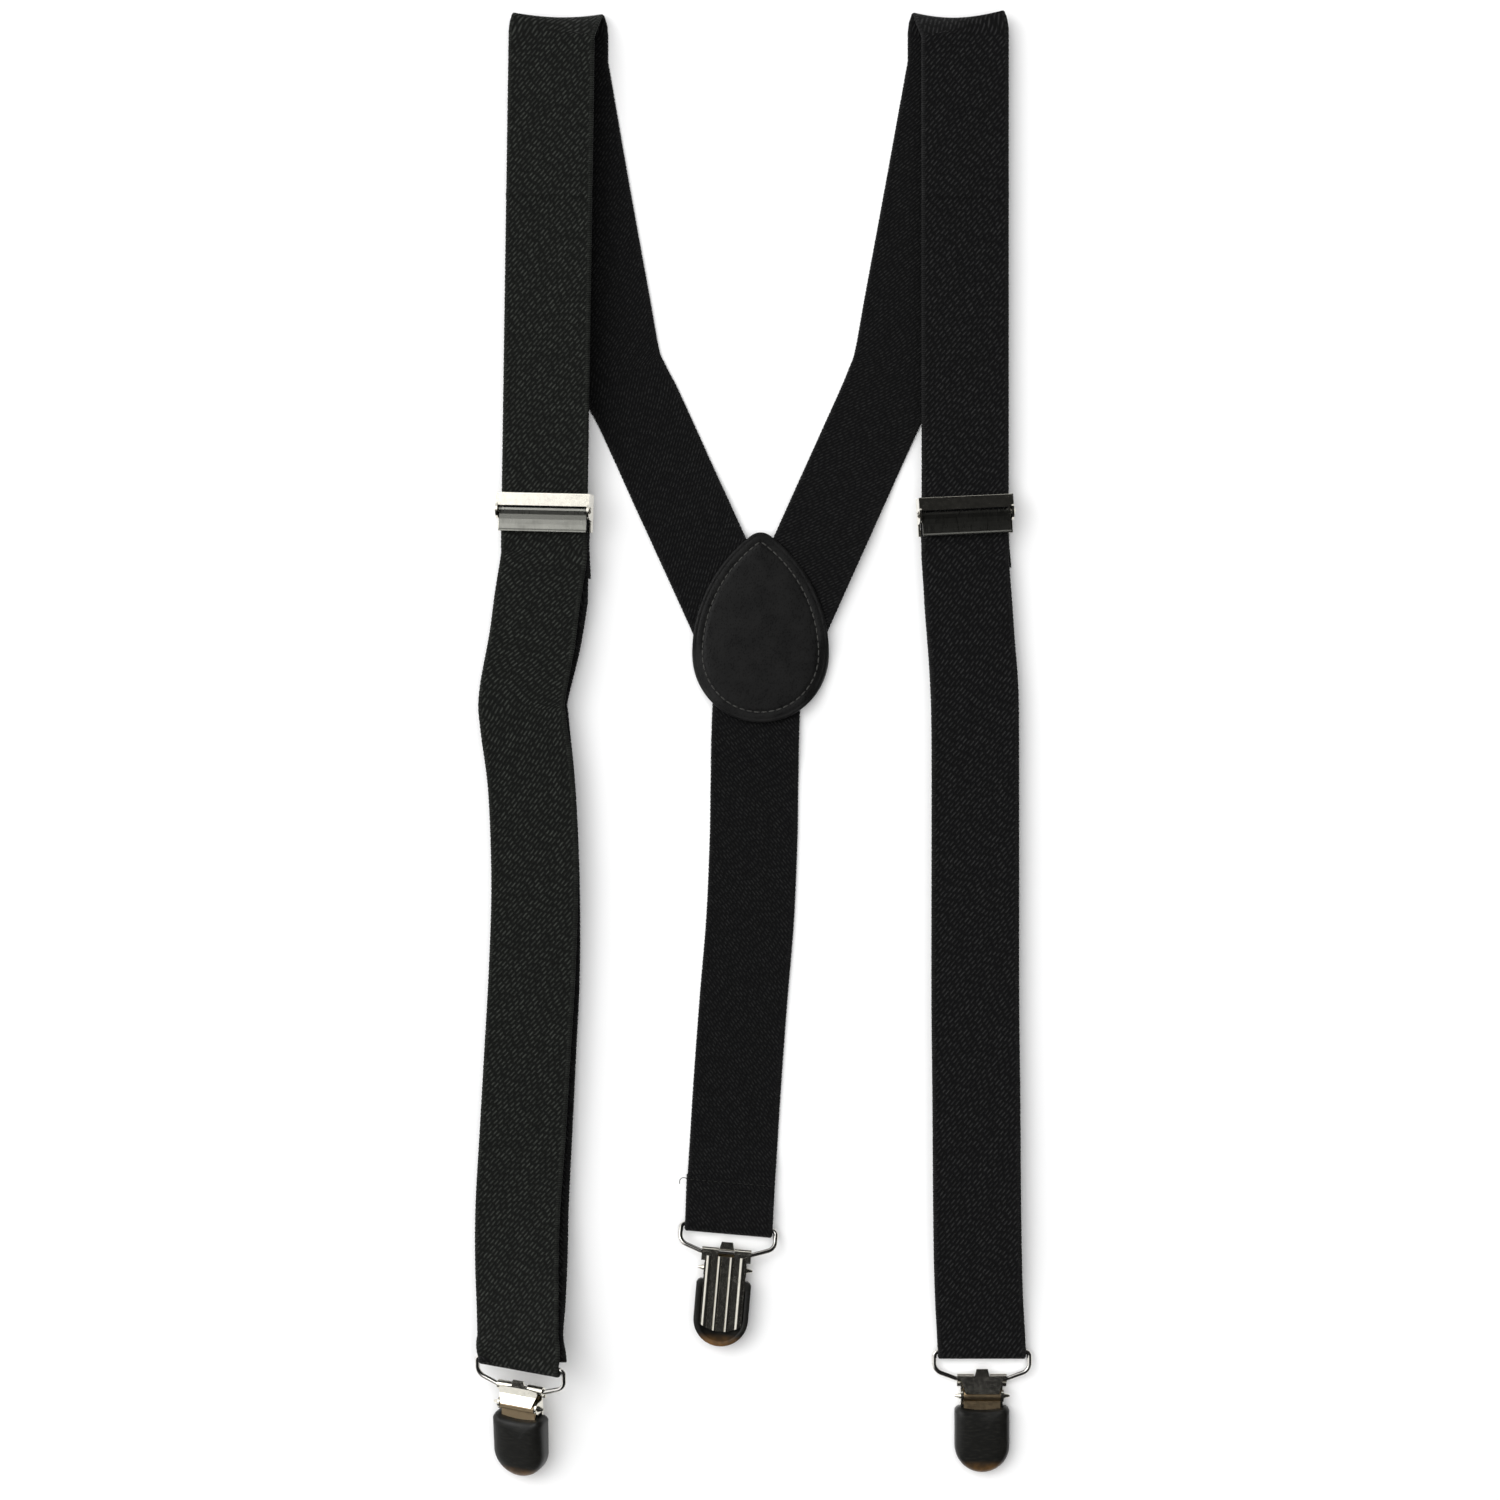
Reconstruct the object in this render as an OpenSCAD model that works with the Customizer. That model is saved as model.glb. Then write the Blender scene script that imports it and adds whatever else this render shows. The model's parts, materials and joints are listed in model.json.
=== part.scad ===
// Clip-on dress suspenders with a Y-shaped back, laid out flat with the outer side up.
// The table is z = 0 and +Y runs from the clips to the shoulder folds.
// The origin is the middle of the outline, on the table.

/* [Webbing] */
// Width of the elastic webbing
webbing_w = 25.2; // [24.8:0.1:25.4]
// Thickness of the elastic webbing
webbing_t = 1.3; // [1.1:0.1:1.3]

/* [Patch] */
// Radius of the round end of the teardrop patch
patch_r = 19.6; // [18:0.2:21]
// Thickness of each leather layer
leather_t = 1.2; // [0.8:0.1:1.2]

/* [Adjusters] */
// Inner width between the cheeks of the adjuster
cheek_gap = 26; // [26:0.1:27]
// Thickness of the adjuster's sheet metal
adjuster_t = 0.6; // [0.5:0.1:0.7]
// Distance that the cover reaches above and below the adjuster's middle
adjuster_half = 5.4; // [5.2:0.1:5.6]

/* [Clips] */
// Radius of the wire that the loops are bent from
wire_r = 0.7; // [0.5:0.05:0.7]
// Distance between the two bars of a wire loop
loop_h = 7.75; // [7.5:0.05:8.5]
// Width of the ribbed back plate
plate_w = 12; // [11.8:0.1:12]
// Length of the ribbed back plate below the wire's bar
plate_len = 22.4; // [21:0.2:22.6]
// Width of the plastic boot
boot_w = 15.7; // [15.2:0.1:16]
// Distance from the wire's bar to the tip of the boot
boot_reach = 26.7; // [26:0.1:27.5]

/* [Hidden] */
$fn = 48;

// Half the webbing's thickness is the height of a strap's middle when it lies on the table.
flat_z = webbing_t / 2;
// The front is joined from pieces of strap that butt with this much between them.
seam_gap = 0.3;
// Distance from a wire bar's middle to the middle of the webbing folded round it
turn_r = wire_r + 0.15 + webbing_t / 2;
// A strap is shaped by a smooth curve through its points, with this many steps between two.
steps = 4;
turn_steps = 8;

// Each strap point is [x, y, z, roll]; a positive roll lifts the strap's right edge.
back_points = [
    [1.5, 20, 1.9, 0], [1.0, 10, 1.9, 0], [0.8, 4, 1.9, 0], [0.7, 0, 1.75, 0],
    [0.6, -7, 0.9, 0], [0.5, -13, 0.68, 0], [0.3, -26, 0.65, 0], [-0.7, -49, 0.65, 0],
    [-2.6, -72, 0.65, 0], [-4.3, -95, 0.65, 0],
    [-5.3, -111, 0.66, 0], [-5.5, -114, 0.8, 0], [-5.8, -119, 1.9, 0], [-6.0, -122, 2.1, 0],
    [-6.3, -127, 2.35, 0], [-6.6, -133, 3.55, 0],
];
left_back_points = [
    [-0.6, 27, 1.88, 0], [-11, 50, 1.88, 0], [-16.5, 62, 1.88, 0], [-18.3, 66, 1.8, 0],
    [-22, 74, 1.1, 0], [-24.7, 80, 0.75, 0], [-28.3, 88, 0.65, 0],
    [-32.9, 98, 0.65, 0], [-36.0, 104, 0.65, 0], [-38.9, 111, 0.65, 0],
    [-42.0, 128, 0.65, 0], [-47.8, 160, 0.65, 0], [-54.0, 196, 0.65, 0],
];
right_back_points = [
    [4.8, 27, 3.22, 0], [15.1, 50, 3.22, 0], [20.5, 62, 3.22, 0], [22.3, 66, 3.1, 0],
    [25.9, 74, 1.9, 0], [29.5, 82, 0.9, 0], [32.2, 88, 0.67, 0],
    [36.7, 98, 0.65, 0], [39.2, 104, 0.65, 0], [41.6, 111, 0.65, 0],
    [44.7, 128, 0.65, 0], [50.6, 160, 0.65, 0], [57.1, 196, 0.65, 0],
];
left_front_points = [
    [-59.5, 58, 8, 10], [-59.6, 54, 8, 10], [-61.4, 42.6, 8, 10], [-62.9, 31, 8, 9],
    [-65.7, 15, 8, 8], [-65.4, 7, 8, 8], [-63.3, -9, 8, 8], [-62.4, -26, 8, 8], [-62.2, -44, 8, 8],
    [-63.0, -66, 8, 8], [-64.3, -88, 8, 9], [-65.6, -110, 8, 10], [-66.9, -130, 8.2, 13],
    [-67.2, -145, 9.2, 16], [-66.9, -158, 11, 19], [-66.7, -167, 13, 21],
];
left_return_points = [
    [-61.6, 30, 3.5, 9], [-65.2, 15, 2.7, 8], [-64.9, 7, 2.7, 8], [-63.3, -9, 2.6, 8], [-62.3, -26, 2.6, 8],
    [-61.8, -44, 2.6, 8], [-61.9, -66, 2.6, 8], [-62.9, -88, 2.8, 9], [-63.9, -110, 3.1, 10],
    [-64.7, -130, 3.9, 13], [-64.8, -145, 5.2, 16], [-65.1, -158, 7.6, 19],
    [-65.4, -167, 10.2, 21],
];
right_front_points = [
    [60.7, 58, 7.2, -6], [60.7, 54, 7.2, -6], [61.6, 42.6, 7.2, -6], [62.4, 31, 7.2, -6],
    [63.3, 19.7, 7.2, -6], [63.6, 8, 7.2, -5], [63.6, -30, 7.2, -4], [63.6, -72, 7.2, -3],
    [63.9, -101, 7.2, -2],
    [64.1, -130, 7.2, -1], [64.4, -147, 6.4, 0], [64.8, -158, 5.0, 0], [65.3, -166, 3.9, 0],
];
right_return_points = [
    [63.2, 22, 2.4, -4], [63.8, 5, 1.7, -3], [63.9, -30, 1.3, -2], [63.9, -72, 1.0, -1],
    [64.2, -101, 0.65, 0], [64.4, -130, 0.65, 0], [64.6, -147, 0.65, 0],
    [65.0, -158, 0.65, 0], [65.4, -166, 0.65, 0],
];

// Each shoulder fold is [y of its axis, x where the front begins, its height, its roll].
left_fold = [204.8, -57.3, 8, 10];
right_fold = [205.2, 60.7, 7.2, -6];

// Each adjuster is [middle of the webbing in it, roll, turn, lean of its tail, length of its tail].
left_adjuster = [[-59.3, 67.4, 8], -10, -1.8, 5, 19.6];
right_adjuster = [[60.7, 66.6, 7.2], 6, 3, 2, 15.9];

// Each clip is [upper bar of its loop, strap pitch, loop pitch, clip pitch, roll, turn].
left_clip = [[-66.0, -174.6, 13.2], 4, 20, 18, -22, -7];
right_clip = [[65.7, -172.7, 2.15], 0, 0, 0, 0, 0];
back_clip = [[-6.8, -137, 2.15], 0, 21.2, 0, 180, -5];

function unit(v) = v / norm(v);
function xyz(p) = [p[0], p[1], p[2]];

// A point turned by rotate([pitch, roll, turn])
function turn_x(p, a) = [p[0], p[1] * cos(a) - p[2] * sin(a), p[1] * sin(a) + p[2] * cos(a)];
function turn_y(p, a) = [p[0] * cos(a) + p[2] * sin(a), p[1], p[2] * cos(a) - p[0] * sin(a)];
function turn_z(p, a) = [p[0] * cos(a) - p[1] * sin(a), p[0] * sin(a) + p[1] * cos(a), p[2]];
function turned(p, a) = turn_z(turn_y(turn_x(p, a[0]), a[1]), a[2]);

// Smooth curve through points, each a list of four numbers
function curve(a, b, c, d, t) =
    (2 * b + (c - a) * t + (2 * a - 5 * b + 4 * c - d) * t * t
    + (3 * b - a - 3 * c + d) * t * t * t) / 2;
function smooth(p) = [
    for (i = [0 : len(p) - 2])
        for (k = [0 : steps - 1])
            curve(p[max(i - 1, 0)], p[i], p[i + 1], p[min(i + 2, len(p) - 1)], k / steps),
    p[len(p) - 1],
];
// Half turn of a strap round a wire's bar, from its top side to its under side
function bar_turn(clip) = let (
    angles = [clip[1], clip[4] == 180 ? 0 : clip[4], clip[5]],
    up = turned([0, 0, 1], angles),
    along = turned([0, 1, 0], angles)
) [
    for (k = [0 : turn_steps])
        let (a = 180 * k / turn_steps, c = clip[0] + turn_r * (cos(a) * up - sin(a) * along))
            [c[0], c[1], c[2], 0, turned([1, 0, 0], angles)],
];
// Point on a strap's under layer, a distance up from the end of its turn round the bar
function above_bar(clip, d) = let (
    angles = [clip[1], clip[4], clip[5]],
    c = clip[0] + turned([0, d, -turn_r], angles)
) [c[0], c[1], c[2], 0, turned([1, 0, 0], angles)];
// Half turn of a strap over the shoulder, from the back part to the front part
function shoulder_turn(fold, start) = let (r = (fold[2] - start[2]) / 2) [
    for (k = [0 : turn_steps])
        let (t = k / turn_steps, a = 180 * t - 90)
            [start[0] + (fold[1] - start[0]) * t, fold[0] + r * cos(a),
            start[2] + r + r * sin(a), fold[3] * t],
];
// A strap's ring at point i; a point whose roll can't say how the strap lies has its own side
function ring(path, i) = let (
    before = xyz(path[max(i - 1, 0)]),
    after = xyz(path[min(i + 1, len(path) - 1)]),
    along = unit(after - before),
    square = [1, 0, 0] - along[0] * along,
    flat = unit([square[0], square[1], 0]),
    roll = path[i][3],
    side = is_undef(path[i][4]) ? cos(roll) * flat + [0, 0, sin(roll)] : path[i][4],
    across = side * webbing_w / 2,
    out = unit(cross(across, along)) * webbing_t / 2,
    c = xyz(path[i])
) [c - across - out, c + across - out, c + across + out, c - across + out];

module strap(path) {
    n = len(path);
    points = [for (i = [0 : n - 1]) each ring(path, i)];
    sides = [
        for (i = [0 : n - 2])
            for (k = [0 : 3])
                let (a = 4 * i + k, b = 4 * i + (k + 1) % 4)
                    each [[a, b, b + 4], [a, b + 4, a + 4]],
    ];
    last = 4 * (n - 1);
    ends = [[0, 2, 1], [0, 3, 2], [last, last + 1, last + 2], [last, last + 2, last + 3]];
    color([0.07, 0.07, 0.07]) polyhedron(points, concat(sides, ends));
}

// Straps that belong to the back and the shoulders
function shoulder_path(back, fold, front) = let (
    start = back[len(back) - 1],
    top = [start[0], fold[0], start[2], 0]
) concat(
    smooth(back),
    shoulder_turn(fold, top),
    [[(fold[1] + front[0][0]) / 2, (fold[0] + front[0][1]) / 2, fold[2], fold[3]]],
    [front[0] + [0, seam_gap, 0, 0]]
);
module back_strap() {
    tail = [[-6.6, -131, flat_z, 0], [-6.3, -122.5, flat_z, 0]];
    strap(concat(smooth(back_points), bar_turn(back_clip), tail));
}

// A point in an adjuster's own frame: x across, y up the strap, z out of the webbing
function at_adjuster(adj, p) = adj[0] + turned(p, [0, adj[1], adj[2]]);
hem_z = -3.55;
tail_z = -2.2;
hem_end = -23.5;
hem_bend_y = -7;
// A hem's tail leans sideways below its bend; a point on it in the adjuster's frame
function tail_point(adj, y) = [max(hem_bend_y - y, 0) * tan(adj[3]), y, tail_z, 0];
// A point on the strap that carries on straight down from the hem
function below_hem(adj, d) = let (p = at_adjuster(adj, [0, hem_end - d, hem_z]))
    [p[0], p[1], p[2], -adj[1]];

function after_first(p) = [for (i = [1 : len(p) - 1]) p[i]];

module front_strap(points, clip) {
    strap(concat([points[0]], smooth(after_first(points)), bar_turn(clip)));
}
module return_strap(points, adj, clip) {
    strap(concat(
        [below_hem(adj, seam_gap)],
        smooth(concat([below_hem(adj, 2)], points)),
        [above_bar(clip, 3), above_bar(clip, 1.5), above_bar(clip, seam_gap)]
    ));
}

// Adjuster, in its own frame
bar_y = -4.5;
bar_half = 1;
bar_r = 0.4;
bar_z = -2.45;
hem_turn_y = bar_y + bar_half - bar_r;
hem_turn_r = bar_r + 0.05 + webbing_t / 2;
pivot_y = 0.5;
pivot_z = 2;
cheek_out = cheek_gap / 2 + adjuster_t;
bridge_y = 1.7;
bridge_z = 2.7;

module in_adjuster(adj) {
    translate(adj[0]) rotate([0, adj[1], adj[2]]) children();
}
// Extrudes an outline drawn in y and z from x = from to x = to
module along_x(from, to) {
    translate([from, 0, 0]) rotate([90, 0, 90]) linear_extrude(to - from) children();
}
module adjuster_hem(adj) {
    lower = [for (y = [hem_end, hem_bend_y]) [0, y, hem_z, 0]];
    turn = [
        for (k = [0 : turn_steps])
            let (a = 180 * k / turn_steps - 90)
                [0, hem_turn_y + hem_turn_r * cos(a), bar_z + hem_turn_r * sin(a), 0],
    ];
    tail = [for (y = [-9, -adj[4]]) tail_point(adj, y)];
    in_adjuster(adj) strap(concat(lower, turn, [[0, -6, -1.35, 0]], tail));
}
module stitch_row(y, z, count) {
    pitch = (webbing_w - 3) / count;
    for (i = [0 : count - 1])
        translate([(i - count / 2 + 0.15) * pitch, y, z])
            rotate([0, 90, 0]) cylinder(h = pitch * 0.7, r = 0.15, $fn = 16);
}
module hem_stitching(adj) {
    color([0.05, 0.05, 0.05]) in_adjuster(adj)
        translate([0, hem_bend_y, 0]) rotate([0, 0, adj[3]]) {
            stitch_row(-6, tail_z + flat_z + 0.16, 11);
            stitch_row(-6, hem_z - flat_z - 0.16, 11);
        }
}
module cheek_outline() {
    translate([-adjuster_half - 0.1, bar_z - bar_r]) square([2 * adjuster_half, 2.15]);
    translate([pivot_y, pivot_z - 0.6]) circle(r = 2.6);
    translate([pivot_y - 2.6, -1]) square([5.2, 2.4]);
    translate([bridge_y, -1]) square([adjuster_half - bridge_y - 0.1, bridge_z + 1.6]);
}
module adjuster_frame(adj) {
    color([0.8, 0.78, 0.74]) in_adjuster(adj) difference() {
        union() {
            for (side = [-1, 1])
                translate([side < 0 ? -cheek_out : cheek_gap / 2, 0, 0])
                    along_x(0, adjuster_t) cheek_outline();
            translate([-cheek_out, -1.7, -1.5]) cube([2 * cheek_out, adjuster_half + 1.5, 0.75]);
            translate([-cheek_out, bridge_y, bridge_z])
                cube([2 * cheek_out, adjuster_half - bridge_y - 0.3, adjuster_t]);
            translate([0, adjuster_half - 0.3, bridge_z + adjuster_t / 2]) rotate([0, 90, 0])
                cylinder(h = 2 * cheek_out, r = adjuster_t / 2, center = true);
            translate([-cheek_out, bar_y - bar_half + bar_r, bar_z - bar_r])
                cube([2 * cheek_out, 2 * (bar_half - bar_r), 2 * bar_r]);
            for (side = [-1, 1])
                translate([0, bar_y + side * (bar_half - bar_r), bar_z]) rotate([0, 90, 0])
                    cylinder(h = 2 * cheek_out, r = bar_r, center = true);
        }
        translate([0, pivot_y, pivot_z]) rotate([0, 90, 0])
            cylinder(h = 40, r = 0.75, center = true);
    }
}
module lever_outline() {
    polygon([
        [1.0, 2.35], [1.0, 2.9], [0.4, 2.95], [-0.8, 2.65], [-2.2, 2.55], [-3.6, 2.6],
        [-4.9, 2.75], [-5.3, 3.05], [-5.6, 3.1], [-5.6, 2.6], [-5.1, 2.2], [-3.6, 2.05],
        [-2.2, 2.0], [-0.8, 2.05],
    ]);
}
module adjuster_lever(adj) {
    reach = cheek_gap / 2 - 0.3;
    teeth = 13;
    tooth_pitch = 1.8;
    color([0.75, 0.73, 0.7]) in_adjuster(adj) difference() {
        union() {
            along_x(-reach, reach) lever_outline();
            translate([0, 0.3, 1.75]) rotate([0, 90, 0])
                cylinder(h = 2 * reach, r = 0.95, center = true);
            for (side = [-1, 1])
                along_x(side < 0 ? -reach : reach - 0.6, side < 0 ? -reach + 0.6 : reach) {
                    translate([pivot_y, pivot_z]) circle(r = 1.15);
                    translate([-5, 1.6]) square([5.5, 0.8]);
                }
            for (i = [0 : teeth - 1])
                translate([(i - (teeth - 1) / 2) * tooth_pitch, 0.1, 0.95])
                    rotate([-90, 0, 0]) linear_extrude(0.5)
                        polygon([[-0.6, -0.3], [0.6, -0.3], [0, 0.23]]);
        }
        for (side = [-1, 1])
            translate([side * (reach - 0.5), pivot_y, pivot_z]) rotate([0, 90, 0])
                cylinder(h = 3.2, r = 0.75, center = true);
    }
}
module adjuster_rivets(adj) {
    inner = cheek_gap / 2 - 1.6;
    color([0.85, 0.84, 0.8]) in_adjuster(adj) for (side = [-1, 1])
        translate([0, pivot_y, pivot_z]) rotate([0, side * 90, 0]) {
            translate([0, 0, inner]) cylinder(h = cheek_out - inner, r = 0.7);
            translate([0, 0, cheek_out]) cylinder(h = 0.15, r = 1.1);
            translate([0, 0, cheek_out + 0.15]) cylinder(h = 0.35, r1 = 1.1, r2 = 0.6);
        }
}

// Teardrop patch, pointed end up
patch_x = 2.3;
patch_y = 27;
side_r = 42.5;
tip_r = 4.5;
patch_top = 5.15;

module teardrop(inset) {
    r = side_r - inset;
    tip = tip_r - inset;
    off = side_r - patch_r;
    high = sqrt((r - tip) * (r - tip) - off * off);
    cut = high * r / (r - tip);
    circle(r = patch_r - inset, $fn = 96);
    translate([0, high]) circle(r = tip);
    intersection() {
        translate([-off, 0]) circle(r = r, $fn = 192);
        translate([off, 0]) circle(r = r, $fn = 192);
        translate([-patch_r, 0]) square([2 * patch_r, cut]);
    }
}
module patch_layer(z) {
    color([0.1, 0.1, 0.1]) translate([patch_x, patch_y, z]) linear_extrude(leather_t) teardrop(0);
}
// Point and heading a share t of the way along the right half of the stitched line, from its foot
function seam_half(t) = let (
    inset = 3,
    low = patch_r - inset,
    r = side_r - inset,
    off = side_r - patch_r,
    sweep = acos(off / (r - tip_r + inset)),
    low_len = 90 * low,
    side_len = sweep * r,
    s = t * (low_len + side_len),
    a = s < low_len ? s / low - 90 : (s - low_len) / r
) s < low_len ? [low * cos(a), low * sin(a), a + 90] : [r * cos(a) - off, r * sin(a), a + 90];

module patch_stitching() {
    per_half = 22;
    color([0.16, 0.16, 0.15]) translate([patch_x, patch_y, patch_top + 0.16])
        for (side = [0, 1]) mirror([side, 0, 0])
            for (i = [0 : per_half - 1])
                let (p = seam_half((i + 0.5) / per_half))
                    translate([p[0], p[1], 0]) rotate([0, 0, p[2]]) rotate([0, 90, 0])
                        cylinder(h = 1.6, r = 0.15, center = true, $fn = 16);
}
module back_hem_stitching() {
    color([0.05, 0.05, 0.05]) translate([-6.1, -124.5, 0]) rotate([0, 0, -5])
        stitch_row(0, 2.25 + flat_z + 0.16, 11);
}

// Clips, in the clip's own frame: x along the wire's bar, y up the strap, z towards the jaw
pin_y = -4.8;
pin_z = 1.5;
pin_r = 0.55;
ear_out = 6.1;
plate_top = -1.15;
plate_t = 0.6;

module in_loop(clip) {
    translate(clip[0]) rotate([clip[2], clip[4], clip[5]]) children();
}
module in_clip(clip) {
    in_loop(clip) translate([0, -loop_h, 0]) rotate([clip[3] - clip[2], 0, 0]) children();
}
corner_x = 12.3;
corner_r = 1.35;
hip_r = 3;
hip_sweep = 70;
toe_x = 7.2;
toe_r = 1.5;
bend_steps = 6;
wire_sides = 12;
// Middle line of the wire from the upper bar down one side to the lower bar, in x and y
function bend(x, y, r, from, to) = [
    for (k = [0 : bend_steps])
        let (a = from + (to - from) * k / bend_steps) [x + r * cos(a), y + r * sin(a), 0],
];
function side_path() = let (
    hip_x = corner_x + corner_r - hip_r,
    // height at which the slanting part is tangent to both of its bends
    rise = ((hip_x - toe_x) * cos(hip_sweep) + hip_r - toe_r) / sin(hip_sweep),
    toe_y = toe_r - loop_h
) concat(
    [[corner_x - 1, 0, 0]],
    bend(corner_x, -corner_r, corner_r, 90, 0),
    bend(hip_x, toe_y + rise, hip_r, 0, -hip_sweep),
    bend(toe_x, toe_y, toe_r, -hip_sweep, -90),
    [[toe_x - 1, -loop_h, 0]]
);
module bent_wire(path) {
    n = len(path);
    points = [
        for (i = [0 : n - 1])
            let (t = unit(path[min(i + 1, n - 1)] - path[max(i - 1, 0)]), out = [t[1], -t[0], 0])
                for (k = [0 : wire_sides - 1])
                    let (a = 360 * (k + 0.5) / wire_sides)
                        path[i] + (wire_r - 0.01) * (cos(a) * out + [0, 0, sin(a)]),
    ];
    walls = [
        for (i = [0 : n - 2])
            for (k = [0 : wire_sides - 1])
                let (a = wire_sides * i + k, b = wire_sides * i + (k + 1) % wire_sides)
                    each [[a, b, b + wire_sides], [a, b + wire_sides, a + wire_sides]],
    ];
    first = [for (k = [wire_sides - 1 : -1 : 0]) k];
    last = [for (k = [0 : wire_sides - 1]) wire_sides * (n - 1) + k];
    polyhedron(points, concat(walls, [first, last]));
}
module wire_loop(clip) {
    color([0.78, 0.77, 0.74]) in_loop(clip) {
        rotate([0, 90, 0]) cylinder(h = 2 * corner_x, r = wire_r, center = true);
        translate([0, -loop_h, 0]) rotate([0, 90, 0])
            cylinder(h = 2 * toe_x, r = wire_r, center = true);
        for (side = [0, 1]) mirror([side, 0, 0]) bent_wire(side_path());
    }
}
// Cross-section of the ribbed plate in x and z
module ribbed_section() {
    translate([-plate_w / 2, plate_top - plate_t]) square([plate_w, plate_t]);
    intersection() {
        union() for (side = [-1, 1]) {
            translate([side * 1.7, -1.42]) circle(r = 0.68);
            translate([side * 4.8, -1.0]) circle(r = 1.1);
        }
        translate([-plate_w / 2, -2.1]) square([plate_w, 2.1 + plate_top - 0.1]);
    }
}
module ear_outline() {
    translate([pin_y, pin_z]) circle(r = 1.7);
    translate([pin_y - 1.7, plate_top - 0.3]) square([3.4, pin_z - plate_top + 0.3]);
}
module clip_plate(clip) {
    hook_x = 2.3;
    hook_w = 4.75;
    color([0.8, 0.78, 0.74]) in_clip(clip) difference() {
        union() {
            intersection() {
                rotate([90, 0, 0]) linear_extrude(plate_len + 1)
                    ribbed_section();
                translate([0, 0, -5]) linear_extrude(6) {
                    translate([0, 10 - plate_len]) circle(r = 10, $fn = 96);
                    translate([-plate_w / 2, 10 - plate_len]) square([plate_w, plate_len - 11]);
                }
            }
            for (side = [-1, 1]) {
                translate([side < 0 ? -hook_x - hook_w : hook_x, 0, 0]) {
                    rotate([0, 90, 0]) cylinder(h = hook_w, r = 1.35);
                    translate([0, -2.4, plate_top - plate_t]) cube([hook_w, 2.4, plate_t]);
                }
                translate([side < 0 ? -ear_out : ear_out - plate_t, 0, 0])
                    along_x(0, plate_t) ear_outline();
            }
        }
        rotate([0, 90, 0]) cylinder(h = 30, r = wire_r + 0.08, center = true);
        translate([0, pin_y, pin_z]) rotate([0, 90, 0])
            cylinder(h = 30, r = pin_r + 0.05, center = true);
    }
}
module clip_spring(clip) {
    color([0.72, 0.72, 0.7]) in_clip(clip) intersection() {
        along_x(-6, 6) polygon([
            [2.9, 1.45], [2.9, 1.9], [0.6, 1.9], [-1.4, 2.3], [-4.0, 3.75], [-4.2, 3.35],
            [-1.5, 1.8], [0.4, 1.45],
        ]);
        linear_extrude(10) polygon([
            [-1.6, 2.9], [1.6, 2.9], [2.1, 0.9], [5.9, 0.2], [5.9, -0.6], [4.6, -4.6],
            [-4.6, -4.6], [-5.9, -0.6], [-5.9, 0.2], [-2.1, 0.9],
        ]);
    }
}
module clip_pin(clip) {
    head = boot_w / 2;
    color([0.85, 0.84, 0.82]) in_clip(clip) translate([0, pin_y, pin_z]) {
        rotate([0, 90, 0]) cylinder(h = 2 * ear_out + 0.2, r = pin_r, center = true);
        for (side = [-1, 1]) rotate([0, side * 90, 0]) translate([0, 0, ear_out + 0.05])
            cylinder(h = head - ear_out - 0.05, r1 = 0.9, r2 = 0.3);
    }
}
jaw_y = -7.75;
tongue_end = -19;
tongue_x = 5.2;
// Outline of the jaw's metal in y and z: a barrel on the pin and a tongue inside the boot
module jaw_outline(slack) {
    translate([pin_y, pin_z]) circle(r = 1.6 + slack);
    polygon([
        [pin_y, 2.1 + slack], [tongue_end - slack, 2.1 + slack],
        [tongue_end - slack, 1.4 - slack], [jaw_y - 0.2, 1.4 - slack], [pin_y, pin_z - 0.5 - slack],
    ]);
}
module clip_jaw(clip) {
    color([0.8, 0.79, 0.75]) in_clip(clip) difference() {
        along_x(-tongue_x, tongue_x) jaw_outline(0);
        translate([0, pin_y, pin_z]) rotate([0, 90, 0])
            cylinder(h = 30, r = pin_r + 0.05, center = true);
    }
}
module boot_outline(inset) {
    r = boot_w / 2;
    mid = r - boot_reach;
    intersection() {
        union() {
            translate([0, mid]) circle(r = r - inset, $fn = 32);
            translate([inset - r, mid]) square([2 * (r - inset), jaw_y - mid - inset]);
        }
        polygon([
            [-r, -boot_reach], [r, -boot_reach], [r, jaw_y - 1.3], [r - 1.6, jaw_y],
            [1.6 - r, jaw_y], [-r, jaw_y - 1.3],
        ]);
    }
}
module clip_boot(clip) {
    rim_z = -1.6;
    color([0.06, 0.06, 0.06]) in_clip(clip) difference() {
        hull() {
            translate([0, 0, rim_z]) linear_extrude(3.2) boot_outline(0);
            translate([0, 0, rim_z]) linear_extrude(4.8) boot_outline(0.6);
            intersection() {
                translate([0, 0, rim_z]) linear_extrude(6.4) boot_outline(2.2);
                translate([-10, -19, -5]) cube([20, 14, 20]);
            }
        }
        // seat for the plate, with the teeth that grip the cloth left standing in it
        translate([-plate_w / 2 - 0.3, -plate_len - 0.4, -3])
            cube([plate_w + 0.6, plate_len, 3 + plate_top + 0.25]);
        for (i = [0 : 5])
            translate([-plate_w / 2 + 1, -10 - 2 * i, -3]) cube([plate_w - 2, 1.1, 3.6 + plate_top]);
        along_x(-tongue_x - 0.02, tongue_x + 0.02) jaw_outline(0.02);
    }
}

patch_layer(0);  // patch_back
patch_layer(patch_top - leather_t);  // patch_front
patch_stitching();
back_strap();
back_hem_stitching();

strap(shoulder_path(left_back_points, left_fold, left_front_points));  // left_shoulder_strap
front_strap(left_front_points, left_clip);  // left_front_strap
return_strap(left_return_points, left_adjuster, left_clip);  // left_return_strap
adjuster_hem(left_adjuster);  // left_adjuster_hem
hem_stitching(left_adjuster);  // left_hem_stitching
adjuster_frame(left_adjuster);  // left_adjuster_frame
adjuster_lever(left_adjuster);  // left_adjuster_lever
adjuster_rivets(left_adjuster);  // left_adjuster_rivets

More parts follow.
